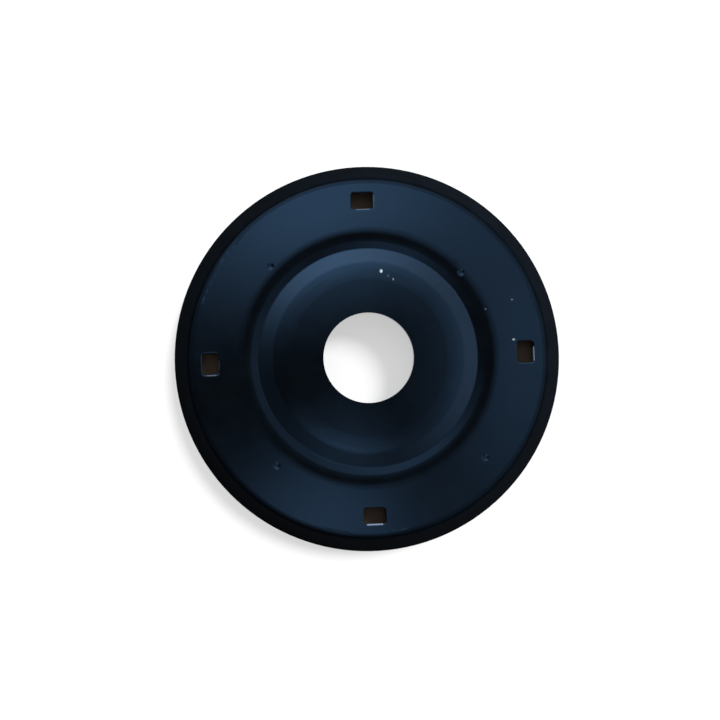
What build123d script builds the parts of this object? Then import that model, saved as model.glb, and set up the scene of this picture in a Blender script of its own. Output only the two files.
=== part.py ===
from build123d import *

import os
from math import cos, radians, sin, tan

# Trimmer head of two nested pressed steel plates, welded together between four line windows.
# Between the plates a closed ring-shaped tunnel joins the windows, and the cutting lines are
# threaded through it from window to window. Millimetres and degrees, +Z up through the face with
# the windows, origin on the bore's axis at the height of the rim's lower edge. Slopes are angles to
# the horizontal, and bends are inside radii.

# Overall form
sheet = 1.5  # thickness of the upper plate
lower_sheet = 1.5  # thickness of the lower plate
head_radius = 55.0  # rim's lower edge
bore_radius = 12.7  # fits a 25.4 mm arbor
centre_height = 9.5  # raised flat centre above the rim's lower edge
ring_height = 7.0  # flat outer ring above the rim's lower edge
rim_slope = 57.0
rim_bend = 1.2
lower_rim_bend = 0.5
rim_clearance = 0.15  # between the two rims

# Line windows in the outer ring, on the X and Y axes
window_count = 4
window_width = 6.0  # along the rim, two 3 mm lines side by side
window_length = 4.5  # towards the rim
window_corner = 0.7
window_margin = 2.25  # left between the window and the rim's bend
punch_roll = 0.4  # rounded edge that the punch leaves on the upper side

# Line tunnel between the plates, under the windows
tunnel_height = 3.6  # takes a 3 mm line
tunnel_wall_slope = 78.0
tunnel_top_bend = 0.5
tunnel_floor_bend = 0.6

# Seat where the plates are welded, with the dents that the hand-placed welds left: each dent is
# shifted from its regular place by millimetres outwards and by degrees
weld_seat = 2.15  # width of the flat contact between tunnel and dish
weld_shifts = ((-2.6, -4.5), (-0.5, -0.3), (1.5, 2.3), (5.0, 2.3))
dent_diameter = 2.2
dent_depth = 0.12

# Raised centre: it curls down a little towards its edge, and its wall meets a shallow dish, which the
# press drew in the outer ring
curl_width = 3.0  # from the curl's corner to the edge
curl_slope = 1.2
curl_bend = 150.0
wall_slope = 33.0
wall_top_bend = 1.3
lower_wall_bend = 0.5
wall_clearance = 0.1  # between the two plates' sloping walls
crease_bend = 0.5
dish_depth = 0.3  # crease below the outer ring
dish_slope = 4.0
dish_bend = 58.0


def direction(start, end):
    return (Vector(*end) - Vector(*start)).normalized()


def beside(points, distances):
    """Corners of a line that runs below each stretch of another one, at that stretch's distance."""
    below = []
    for start, end in zip(points, points[1:]):
        along = direction(start, end)
        below.append(Vector(along.Y, -along.X))
    corners = [Vector(*points[0]) + below[0] * distances[0]]
    for i in range(1, len(below)):
        first, second = below[i - 1], below[i]
        cross = first.X * second.Y - first.Y * second.X
        x = (distances[i - 1] * second.Y - distances[i] * first.Y) / cross
        y = (distances[i] * first.X - distances[i - 1] * second.X) / cross
        corners.append(Vector(*points[i]) + Vector(x, y))
    corners.append(Vector(*points[-1]) + below[-1] * distances[-1])
    return [(corner.X, corner.Y) for corner in corners]


def draw_sheet(points, inside_bends, thickness):
    """Closed outline of a bent sheet in the active line block, from the corners of its upper face."""
    top_bends, under_bends = [], []
    for before, corner, after, inside in zip(points, points[1:], points[2:], inside_bends):
        outside = inside + thickness
        valley = direction(before, corner).cross(direction(corner, after)).Z > 0
        top_bends.append(inside if valley else outside)
        under_bends.append(outside if valley else inside)
    under_points = beside(points, [thickness] * (len(points) - 1))
    top_face = FilletPolyline(*points, radius=top_bends)
    underside = FilletPolyline(*under_points, radius=under_bends)
    Line(top_face @ 0, underside @ 0)
    Line(top_face @ 1, underside @ 1)


def bend_reach(bend, turn):
    """How far a bend of that radius and turn reaches along the straight beside its corner."""
    return bend * tan(radians(turn) / 2)


def rim_wall_radius(height, inset):
    """Radius, at a height, of a wall that runs inside the rim's outer face at a distance."""
    slope = radians(rim_slope)
    return head_radius - height / tan(slope) - inset / sin(slope)


# Outer ring and tunnel, from the rim inwards
rim_corner = rim_wall_radius(ring_height, 0)
ring_edge = rim_corner - bend_reach(rim_bend + sheet, rim_slope)
window_outer_edge = ring_edge - window_margin
window_inner_edge = window_outer_edge - window_length
window_pitch_radius = window_outer_edge - window_length / 2
floor_height = ring_height - sheet - tunnel_height
tunnel_floor_corner = window_inner_edge - bend_reach(tunnel_floor_bend, tunnel_wall_slope)
tunnel_top_corner = tunnel_floor_corner - tunnel_height / tan(radians(tunnel_wall_slope))

# Weld seat, dish and raised centre, from the tunnel inwards
seat_outer_edge = tunnel_top_corner - bend_reach(tunnel_top_bend + lower_sheet, tunnel_wall_slope)
seat_inner_edge = seat_outer_edge - weld_seat
dish_corner = seat_inner_edge - bend_reach(dish_bend + sheet, dish_slope)
crease_height = ring_height - dish_depth
crease_radius = dish_corner - dish_depth / tan(radians(dish_slope))
edge_height = centre_height - curl_width * tan(radians(curl_slope))
edge_radius = crease_radius - (edge_height - crease_height) / tan(radians(wall_slope))
curl_corner = edge_radius - curl_width

# Both rims are drawn past the lower edge and trimmed flat
trim_height = -2 * (sheet + lower_sheet)

# The sections are drawn halfway between two windows
section = Plane(origin=(0, 0, 0), x_dir=(1, 1, 0), z_dir=(1, -1, 0))

# Upper plate: bore edge, raised centre, dish, outer ring and rim, pressed from one sheet
upper_corners = [
    (bore_radius, centre_height),
    (curl_corner, centre_height),
    (edge_radius, edge_height),
    (crease_radius, crease_height),
    (dish_corner, ring_height),
    (rim_corner, ring_height),
    (rim_wall_radius(trim_height, 0), trim_height),
]
upper_bends = [curl_bend, wall_top_bend, crease_bend, dish_bend, rim_bend]
weld_circle = (seat_inner_edge + seat_outer_edge) / 2
dent_ball = (dent_depth**2 + (dent_diameter / 2) ** 2) / (2 * dent_depth)

with BuildPart() as upper_plate:
    with BuildSketch(section):
        with BuildLine():
            draw_sheet(upper_corners, upper_bends, sheet)
        make_face()
    revolve(axis=Axis.Z)
    split(bisect_by=Plane.XY, keep=Keep.TOP)
    with BuildSketch():
        with PolarLocations(window_pitch_radius, window_count):
            RectangleRounded(window_length, window_width, window_corner)
    extrude(amount=2 * centre_height, mode=Mode.SUBTRACT)
    pierced = upper_plate.faces().filter_by(lambda face: len(face.inner_wires()) > window_count)
    ring_face = pierced.sort_by(Axis.Z)[-1]
    window_edges = ring_face.inner_wires().sort_by(lambda wire: wire.length)[:window_count].edges()
    fillet(window_edges, punch_roll)
    for index, (outwards, turn) in enumerate(weld_shifts):
        angle = radians((index + 0.5) * 360 / window_count + turn)
        radius = weld_circle + outwards
        from_above = Axis((radius * cos(angle), radius * sin(angle), 2 * centre_height), (0, 0, -1))
        surface, normal = upper_plate.part.find_intersection_points(from_above)[0]
        with Locations(surface + normal * (dent_ball - dent_depth)):
            Sphere(dent_ball, mode=Mode.SUBTRACT)

# Lower plate: lies under the raised centre, the dish and the weld seat, drops to the tunnel's floor
# and turns down inside the rim
rim_inset = sheet + rim_clearance
wall_gap = sheet + wall_clearance
nested_corners = beside(upper_corners, [sheet, sheet, wall_gap, sheet, sheet, rim_inset])[:5]
lower_corners = nested_corners + [
    (tunnel_top_corner, ring_height - sheet),
    (tunnel_floor_corner, floor_height),
    (rim_wall_radius(floor_height, rim_inset), floor_height),
    (rim_wall_radius(trim_height, rim_inset), trim_height),
]
nested_bends = [curl_bend - lower_sheet, lower_wall_bend, crease_bend + sheet, dish_bend - lower_sheet]
lower_bends = nested_bends + [tunnel_top_bend, tunnel_floor_bend, lower_rim_bend]

with BuildPart() as lower_plate:
    with BuildSketch(section):
        with BuildLine():
            draw_sheet(lower_corners, lower_bends, lower_sheet)
        make_face()
    revolve(axis=Axis.Z)
    split(bisect_by=Plane.XY, keep=Keep.TOP)

upper_plate.part.label = "upper_plate"
lower_plate.part.label = "lower_plate"
os.makedirs("parts", exist_ok=True)
export_step(upper_plate.part, "parts/upper_plate.step")
export_step(lower_plate.part, "parts/lower_plate.step")
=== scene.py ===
from math import acos, cos, radians, sin, tan

import bpy
from mathutils import Matrix, Vector

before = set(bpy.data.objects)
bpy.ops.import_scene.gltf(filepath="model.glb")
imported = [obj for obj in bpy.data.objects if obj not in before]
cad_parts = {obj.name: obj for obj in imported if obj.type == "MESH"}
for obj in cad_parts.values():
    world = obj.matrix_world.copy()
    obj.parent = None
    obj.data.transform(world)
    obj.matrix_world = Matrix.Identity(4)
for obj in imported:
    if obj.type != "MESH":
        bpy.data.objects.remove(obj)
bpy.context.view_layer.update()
scene = bpy.context.scene
scene.view_settings.view_transform = "Standard"

MM = 0.001
BLACK = (0, 0, 0, 1)
WHITE = (1, 1, 1, 1)

# Directions of the picture in the model's frame: the head lies turned a little in it
PICTURE_TURN = radians(2.31)
picture_right = Vector((cos(PICTURE_TURN), -sin(PICTURE_TURN), 0))
picture_up = Vector((sin(PICTURE_TURN), cos(PICTURE_TURN), 0))
model_up = Vector((0, 0, 1))

# Camera, almost straight above the head and a little to the near left of it
CAMERA_DISTANCE = 500 * MM
CAMERA_LEFT = radians(1.79)
CAMERA_NEAR = radians(1.36)
CAMERA_CLIP = 10 * MM
PICTURE_WIDTH = 205.9 * MM  # at the distance of the point that the camera aims at
AIM_LEFT = 2.14 * MM
AIM_NEAR = 0.42 * MM
aim = -AIM_LEFT * picture_right - AIM_NEAR * picture_up
look_back = (model_up - tan(CAMERA_LEFT) * picture_right - tan(CAMERA_NEAR) * picture_up).normalized()
camera_place = aim + look_back * CAMERA_DISTANCE

# Direction that a level mirror in the head's middle shows to the camera
mirrored = Vector((-camera_place.x, -camera_place.y, camera_place.z)).normalized()

# Key light from the far right
KEY_ELEVATION = radians(37)
KEY_AZIMUTH = radians(48)  # clockwise from the picture's upper edge
KEY_SOFTNESS = radians(18)
KEY_STRENGTH = 3.7

# Soft light from three windows: azimuth in degrees, clockwise from the picture's upper edge,
# strength overhead, strength low and narrowness
WINDOWS = (
    (343, 1.05, 1.5, 3.0),
    (80, 0.46, 0.5, 1.4),
    (193, 0.62, 0.2, 8.0),
)
OVERHEAD = 0.9  # sine of the elevation from which the overhead strength holds
LOW = 0.5  # sine of the elevation up to which the low strength holds
WALL_LIGHT = 0.08  # low strength between the windows
HORIZON_LIGHT = 0.4  # share of the strength at the horizon
HORIZON_HIGH = 0.25  # sine of the elevation from which it is full

# Dark card above the head, which the flat faces mirror to the camera. It fades out at its edge
CARD_HEIGHT = 2200 * MM
CARD_DARK_RADIUS = 46 * MM
CARD_RADIUS = 235 * MM

# Floor
FLOOR_SIZE = 12.0
FLOOR_GAP = 0.05 * MM  # below the rim's lower edge
FLOOR_COLOUR = (0.5, 0.5, 0.5, 1)
FLOOR_ROUGHNESS = 0.9
FLOOR_GLOW = 0.5

# Black paint, whose sheen carries a painted bluish tint. Round the rim the sheen is turned down and the
# colour changed by tilt: painted shade, where the rim mirrors dark surroundings. Each paint clouds
# between two colours
# Painted reflection: the blue of the sheen stands in for the sky that the paint mirrors, as the world
# is white
SHEEN_COLOUR = (0.23, 0.52, 1.0, 1)
GLOSSY_COLOURS = (0.0018, 0.0028, 0.0044), (0.0028, 0.0042, 0.0062)
# Colours of the rim's steep faces, tuned bluer as painted shade for the dark surroundings that the rim
# mirrors
RIM_SHADE_COLOURS = (0.0016, 0.003, 0.0052), (0.0026, 0.0046, 0.0076)
PAINT_ROUGHNESS = (0.045, 0.06)
CLOUD_NOISE = (0.16, 4.0, 0.6)  # scale, detail and roughness, as in the other noises
CLOUD_RANGE = (0.3, 0.7)
RIM_START = 48.9 * MM
# A falling share is painted shade: the steep rim stands in for a mirror of dark surroundings
RIM_SHEEN = (  # tilt in degrees up to which a face of the rim's bend keeps that share of its sheen
    (6, 1.0),
    (10, 0.8),
    (16, 0.6),
    (24, 0.4),
    (33, 0.25),
    (180, 0.003),
)

# Marks on the upper plate, in millimetres: x, y, half sizes along x and y, strength
DUST_COLOUR = (0.55, 0.66, 0.74, 1)
DUST_ROUGHNESS = 0.9
DUST_FADE = (1.15, 0.65)  # shares of the half size between which a speck fades in
DUST = (
    (4.5, 24.2, 0.42, 0.52, 0.9),
    (6.4, 22.8, 0.4, 0.4, 0.06),
    (7.8, 21.8, 0.2, 0.35, 0.4),
    (41.3, 14.9, 0.28, 0.25, 0.2),
    (33.7, 12.5, 0.28, 0.2, 0.16),
    (41.3, 3.6, 0.42, 0.33, 0.45),
)
# Window edges, lightened partly by wear to bare steel and partly as painted highlight: each edge's
# strength follows how it faces the light
EDGE_COLOUR = (0.42, 0.55, 0.7, 1)
EDGE_FADE = 0.15  # millimetres over which a lightened edge fades in
EDGE_NOISE = (1.6, 4.0, 0.6)
EDGE_RAGGEDNESS = 0.25
WORN_AND_LIT_EDGES = (
    (46.72, -0.6, 0.34, 2.0, 0.7),  # right window, outer edge
    (0.0, -46.85, 2.3, 0.35, 0.35),  # near window, outer edge
    (0.2, 42.05, 2.0, 0.25, 0.12),  # far window, inner edge
    (3.2, 44.4, 0.25, 1.8, 0.15),  # far window, right edge
    (-44.3, -3.2, 1.4, 0.25, 0.1),  # left window, near edge
    (-42.1, -0.5, 0.25, 1.4, 0.05),  # left window, inner edge
)

# Unpainted steel in the tunnel
STEEL_COLOURS = (0.05, 0.03, 0.02, 1), (0.12, 0.085, 0.06, 1)
STEEL_ROUGHNESS = (0.45, 0.7)
STEEL_METALLIC = 0.4
BLOTCH_NOISE = (0.6, 5.0, 0.65)

# Faces whose normals lean less than this to the tunnel's side are cut edges, and painted
FACING = 0.05


def node(tree, kind, inputs=None, **properties):
    """Adds a node. Its inputs are values or other nodes' outputs, by name or number."""
    made = tree.nodes.new(kind)
    for name, value in properties.items():
        setattr(made, name, value)
    for key, value in (inputs or {}).items():
        if isinstance(value, bpy.types.NodeSocket):
            tree.links.new(value, made.inputs[key])
        else:
            made.inputs[key].default_value = value
    return made


def calculate(tree, operation, first, second, clamp=False):
    inputs = {0: first, 1: second}
    return node(tree, "ShaderNodeMath", inputs, operation=operation, use_clamp=clamp).outputs[0]


def vector(tree, operation, inputs):
    return node(tree, "ShaderNodeVectorMath", dict(enumerate(inputs)), operation=operation)


def scaled(tree, direction, factor):
    return node(tree, "ShaderNodeVectorMath", {0: direction, 3: factor}, operation="SCALE").outputs[0]


def mix_colours(tree, share, first, second):
    inputs = {0: share, 6: first, 7: second}
    return node(tree, "ShaderNodeMix", inputs, data_type="RGBA").outputs[2]


def mix_numbers(tree, share, first, second):
    return node(tree, "ShaderNodeMix", {0: share, 2: first, 3: second}).outputs[0]


def new_material(name):
    made = bpy.data.materials.new(name)
    made.use_nodes = True
    return made, made.node_tree, made.node_tree.nodes["Principled BSDF"]


def object_place(tree):
    return node(tree, "ShaderNodeTexCoord").outputs["Object"]


def noise(tree, place, scale, detail, roughness):
    inputs = {"Vector": place, "Scale": scale, "Detail": detail, "Roughness": roughness}
    return node(tree, "ShaderNodeTexNoise", inputs).outputs[0]


def range_of(tree, value, low, high, lowest=0.0, highest=1.0):
    """Value from lowest to highest while another one goes from low to high."""
    inputs = {"Value": value, "From Min": low, "From Max": high, "To Min": lowest, "To Max": highest}
    return node(tree, "ShaderNodeMapRange", inputs).outputs[0]


def link(tree, output, shader, socket):
    tree.links.new(output, shader.inputs[socket])


def blend(first, second, share):
    """Colour between two others, as a shader's socket takes it."""
    return (*Vector(first).lerp(Vector(second), share), 1)


def round_marks(tree, place, marks):
    """Strength of oval spots."""
    strength = 0.0
    for x, y, half_x, half_y, mark_strength in marks:
        offset = vector(tree, "SUBTRACT", (place, (x, y, 0))).outputs[0]
        shares = vector(tree, "MULTIPLY", (offset, (1 / half_x, 1 / half_y, 0))).outputs[0]
        away = vector(tree, "LENGTH", (shares,)).outputs["Value"]
        spot = range_of(tree, away, *DUST_FADE, 0.0, mark_strength)
        strength = calculate(tree, "MAXIMUM", spot, strength)
    return strength


def edge_marks(tree, place, marks):
    """Strength of narrow marks with ragged outlines."""
    ragged = calculate(tree, "MULTIPLY", noise(tree, place, *EDGE_NOISE), EDGE_RAGGEDNESS)
    strength = 0.0
    for x, y, half_x, half_y, mark_strength in marks:
        offset = vector(tree, "SUBTRACT", (place, (x, y, 0))).outputs[0]
        beside = vector(tree, "ABSOLUTE", (offset,)).outputs[0]
        outside = vector(tree, "SUBTRACT", (beside, (half_x, half_y, 0))).outputs[0]
        parts = node(tree, "ShaderNodeSeparateXYZ", {0: outside})
        away = calculate(tree, "MAXIMUM", parts.outputs["X"], parts.outputs["Y"])
        away = calculate(tree, "ADD", away, ragged)
        mark = range_of(tree, away, EDGE_FADE, 0.0, 0.0, mark_strength)
        strength = calculate(tree, "MAXIMUM", mark, strength)
    return strength


def paint(name, sheen):
    """Black paint with a share of its sheen, which has a painted bluish tint; a share below one is
    painted shade. With dust, and with window edges lightened partly by wear and partly as painted
    highlights.
    """
    made, tree, shader = new_material(name)
    place = scaled(tree, object_place(tree), 1 / MM)
    clouded = range_of(tree, noise(tree, place, *CLOUD_NOISE), *CLOUD_RANGE)
    # The colours lean to the rim colours as the sheen falls: painted shade round the rim
    dark, light = (blend(rim_shade, glossy, sheen) for rim_shade, glossy in zip(RIM_SHADE_COLOURS, GLOSSY_COLOURS))
    colour = mix_colours(tree, clouded, dark, light)
    # Window edges lightened partly by wear, partly as painted highlight
    colour = mix_colours(tree, edge_marks(tree, place, WORN_AND_LIT_EDGES), colour, EDGE_COLOUR)
    dust = round_marks(tree, place, DUST)
    link(tree, mix_colours(tree, dust, colour, DUST_COLOUR), shader, "Base Color")
    roughness = mix_numbers(tree, clouded, *PAINT_ROUGHNESS)
    link(tree, mix_numbers(tree, dust, roughness, DUST_ROUGHNESS), shader, "Roughness")
    shader.inputs["Specular IOR Level"].default_value = sheen
    # Painted reflection: the blue tint stands in for the sky that the paint mirrors
    shader.inputs["Specular Tint"].default_value = SHEEN_COLOUR
    return made


def browned_steel():
    made, tree, shader = new_material("browned_steel")
    blotches = noise(tree, scaled(tree, object_place(tree), 1 / MM), *BLOTCH_NOISE)
    link(tree, mix_colours(tree, blotches, *STEEL_COLOURS), shader, "Base Color")
    link(tree, mix_numbers(tree, blotches, *STEEL_ROUGHNESS), shader, "Roughness")
    shader.inputs["Metallic"].default_value = STEEL_METALLIC
    return made


def rim_step(polygon):
    """Number of the paint for a face of the rim, by its tilt; the steeper copies are painted shade."""
    tilt = acos(max(-1, min(1, polygon.normal.z)))
    return next(index for index, (limit, _) in enumerate(RIM_SHEEN) if tilt <= radians(limit))


def dress_plates():
    """Paints each plate's outer faces, and leaves the faces round the tunnel bare."""
    paints = [paint(f"black_paint_{round(100 * sheen)}", sheen) for _, sheen in RIM_SHEEN]
    materials = paints + [browned_steel()]
    bare = len(paints)
    for name in ("upper_plate", "lower_plate"):
        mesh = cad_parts[name].data
        mesh.materials.clear()
        for material in materials:
            mesh.materials.append(material)
        tunnel_side = 1 if name == "lower_plate" else -1
        for polygon in mesh.polygons:
            if polygon.normal.z * tunnel_side > FACING:
                polygon.material_index = bare
            elif polygon.center.xy.length > RIM_START:
                # Steeper rim faces get the copies with less sheen: painted shade
                polygon.material_index = rim_step(polygon)
            else:
                polygon.material_index = 0


def compass(azimuth):
    """Level direction at an azimuth clockwise from the picture's upper edge."""
    return picture_up * cos(azimuth) + picture_right * sin(azimuth)


def light_world():
    """Soft windows round the table. They meet above the head, where the card hides the place."""
    world = bpy.data.worlds.new("room")
    world.use_nodes = True
    scene.world = world
    tree = world.node_tree
    direction = node(tree, "ShaderNodeTexCoord").outputs["Generated"]
    height = vector(tree, "DOT_PRODUCT", (direction, mirrored)).outputs["Value"]
    aside = vector(tree, "SUBTRACT", (direction, scaled(tree, mirrored, height))).outputs[0]
    level = vector(tree, "NORMALIZE", (aside,)).outputs[0]
    strength = range_of(tree, height, LOW, OVERHEAD, WALL_LIGHT, 0.0)
    for azimuth, overhead_strength, low_strength, narrowness in WINDOWS:
        towards = vector(tree, "DOT_PRODUCT", (level, compass(radians(azimuth)))).outputs["Value"]
        shape = calculate(tree, "POWER", calculate(tree, "MAXIMUM", towards, 0.0), narrowness)
        window_strength = range_of(tree, height, LOW, OVERHEAD, low_strength, overhead_strength)
        strength = calculate(tree, "ADD", calculate(tree, "MULTIPLY", shape, window_strength), strength)
    horizon = range_of(tree, height, 0.0, HORIZON_HIGH, HORIZON_LIGHT)
    strength = calculate(tree, "MULTIPLY", strength, horizon)
    link(tree, strength, tree.nodes["Background"], "Strength")
    tree.nodes["Background"].inputs["Color"].default_value = WHITE


def add_key():
    """Key light, which the paint doesn't mirror."""
    light = bpy.data.lights.new("key", "SUN")
    light.energy = KEY_STRENGTH
    light.angle = KEY_SOFTNESS
    lamp = bpy.data.objects.new("key", light)
    towards = compass(KEY_AZIMUTH) * cos(KEY_ELEVATION) + model_up * sin(KEY_ELEVATION)
    lamp.rotation_euler = towards.to_track_quat("Z", "Y").to_euler()
    lamp.visible_glossy = False
    scene.collection.objects.link(lamp)


def add_card():
    """Dark card that only reflections show."""
    place = mirrored * CARD_HEIGHT / mirrored.z
    bpy.ops.mesh.primitive_plane_add(size=2 * CARD_RADIUS, location=place)
    card = bpy.context.object
    card.name = "card"
    made, tree, shader = new_material("black_card")
    shader.inputs["Base Color"].default_value = BLACK
    shader.inputs["Specular IOR Level"].default_value = 0.0
    from_middle = vector(tree, "LENGTH", (object_place(tree),)).outputs["Value"]
    fade = range_of(tree, from_middle, CARD_DARK_RADIUS, CARD_RADIUS, 1.0, 0.0)
    link(tree, fade, shader, "Alpha")
    card.data.materials.append(made)
    card.visible_camera = False
    card.visible_diffuse = False
    card.visible_shadow = False


def add_floor():
    """White floor that keeps the shadow: part of its white is a glow that lights nothing."""
    bpy.ops.mesh.primitive_plane_add(size=FLOOR_SIZE, location=(0, 0, -FLOOR_GAP))
    floor = bpy.context.object
    floor.name = "floor"
    made, tree, shader = new_material("white_floor")
    shader.inputs["Base Color"].default_value = FLOOR_COLOUR
    shader.inputs["Roughness"].default_value = FLOOR_ROUGHNESS
    shader.inputs["Specular IOR Level"].default_value = 0.0
    path = node(tree, "ShaderNodeLightPath")
    looked_at = calculate(tree, "ADD", path.outputs["Is Camera Ray"], path.outputs["Is Glossy Ray"])
    looked_at = calculate(tree, "ADD", looked_at, path.outputs["Is Transmission Ray"], clamp=True)
    link(tree, calculate(tree, "MULTIPLY", looked_at, FLOOR_GLOW), shader, "Emission Strength")
    shader.inputs["Emission Color"].default_value = WHITE
    floor.data.materials.append(made)


def add_camera():
    data = bpy.data.cameras.new("camera")
    data.lens = data.sensor_width * CAMERA_DISTANCE / PICTURE_WIDTH
    data.clip_start = CAMERA_CLIP
    camera = bpy.data.objects.new("camera", data)
    right = picture_up.cross(look_back).normalized()
    turn = Matrix((right, look_back.cross(right), look_back)).transposed()
    camera.matrix_world = Matrix.Translation(camera_place) @ turn.to_4x4()
    scene.collection.objects.link(camera)
    scene.camera = camera


dress_plates()
light_world()
add_key()
add_card()
add_floor()
add_camera()
